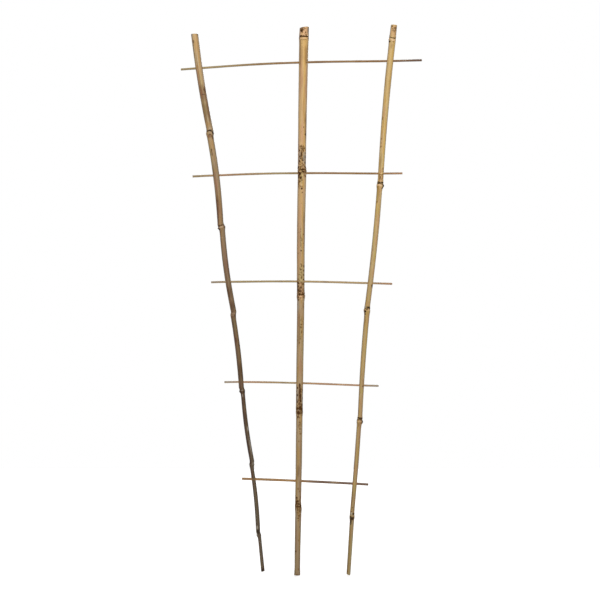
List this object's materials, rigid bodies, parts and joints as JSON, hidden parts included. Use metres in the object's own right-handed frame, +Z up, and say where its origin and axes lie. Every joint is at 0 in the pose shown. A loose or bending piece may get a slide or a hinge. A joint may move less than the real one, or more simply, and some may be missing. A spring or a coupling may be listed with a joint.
{
  "type": "bamboo fan trellis",
  "caption": "Fan-shaped garden trellis of tapering bamboo canes joined by thin bamboo rungs pushed through drilled holes.",
  "frame": {"origin": "middle of the centre cane's foot face", "axes": "+Z up along the centre cane, +X to the right as the picture shows the trellis, +Y away from the viewer"},
  "size_m": [0.3964, 0.0166, 0.9051],
  "materials": {
    "centre_bamboo": "natural satin bamboo, golden tan with brown nodes",
    "left_bamboo": "natural satin bamboo, grey brown with dark nodes",
    "right_bamboo": "natural satin bamboo, yellow tan with dark nodes",
    "rung_bamboo": "thin round bamboo sticks, dull brown grey"
  },
  "bodies": {
    "root": {"centre_cane": "centre_bamboo", "left_cane": "left_bamboo", "right_cane": "right_bamboo", "top_rung": "rung_bamboo", "upper_rung": "rung_bamboo", "middle_rung": "rung_bamboo", "lower_rung": "rung_bamboo", "bottom_rung": "rung_bamboo"}
  },
  "joints": []
}
